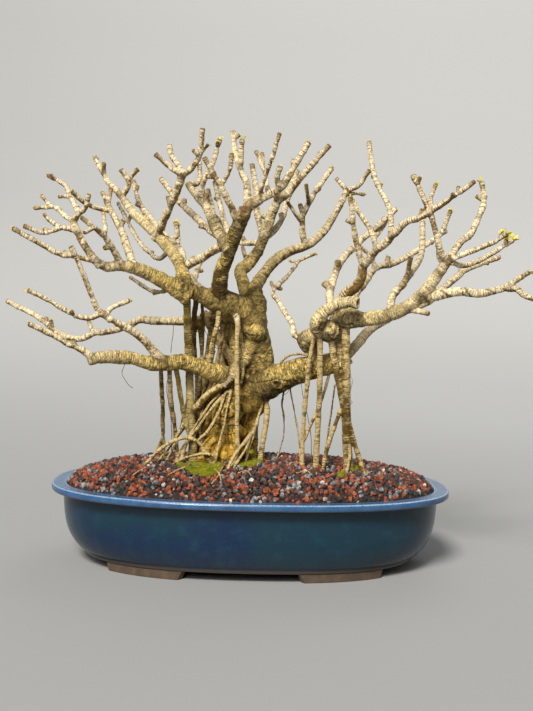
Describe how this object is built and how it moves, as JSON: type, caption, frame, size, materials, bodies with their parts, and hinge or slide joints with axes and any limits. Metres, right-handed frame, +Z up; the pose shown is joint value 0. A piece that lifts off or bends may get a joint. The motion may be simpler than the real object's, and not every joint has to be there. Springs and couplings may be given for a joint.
{
  "type": "umbrella tree bonsai",
  "caption": "Bare, defoliated umbrella tree bonsai with aerial roots, spreading boughs and blunt twigs, in a shallow oval glazed pot filled with lava grit.",
  "frame": {"origin": "centre of the bounding box on the floor, the plane of the feet's undersides", "axes": "+Z up, +X to the right of the front view, -Y towards the viewer of the front"},
  "size_m": [0.7074, 0.3544, 0.5429],
  "materials": {
    "bark": "matt tan bark, ringed with leaf scars",
    "twig": "pale straw-coloured young bark, matt",
    "glaze": "glossy blue glaze, feet unglazed brown clay",
    "soil": "rough red and dark grey lava grit",
    "moss": "soft olive moss"
  },
  "bodies": {
    "root": {"bough_arm": "bark", "bough_back_leader": "bark", "bough_elbow": "bark", "bough_front": "bark", "bough_hub": "bark", "bough_knob": "bark", "bough_left_back": "bark", "bough_left_crown": "bark", "bough_left_low": "bark", "bough_left_rise": "bark", "bough_left_upper": "bark", "bough_right_back": "bark", "bough_right_centre": "bark", "bough_right_high": "bark", "bough_right_low": "bark", "bough_right_main": "bark", "bough_shoulder": "bark", "moss": "moss", "pot": "glaze", "root_curtain_left": "bark", "root_curtain_right": "bark", "root_front": "bark", "root_inner": "bark", "root_pillar_inner": "bark", "root_pillar_left": "bark", "root_pillar_right": "bark", "root_right_middle": "bark", "root_shoulder": "bark", "root_strut": "bark", "roots_foot": "bark", "roots_right": "bark", "roots_surface": "bark", "soil": "soil", "trunk": "bark", "twigs_back": "twig", "twigs_back_leader": "twig", "twigs_back_left": "twig", "twigs_crown_back": "twig", "twigs_crown_centre": "twig", "twigs_crown_fork": "twig", "twigs_crown_left": "twig", "twigs_deadwood": "twig", "twigs_front": "twig", "twigs_front_left": "twig", "twigs_left_back": "twig", "twigs_left_front": "twig", "twigs_left_low": "twig", "twigs_left_mid": "twig", "twigs_left_rise": "twig", "twigs_left_tip": "twig", "twigs_left_under": "twig", "twigs_right_back": "twig", "twigs_right_back_end": "twig", "twigs_right_centre": "twig", "twigs_right_end": "twig", "twigs_right_fork": "twig", "twigs_right_high": "twig", "twigs_right_inner": "twig", "twigs_right_low": "twig", "twigs_right_mid": "twig"}
  },
  "joints": []
}
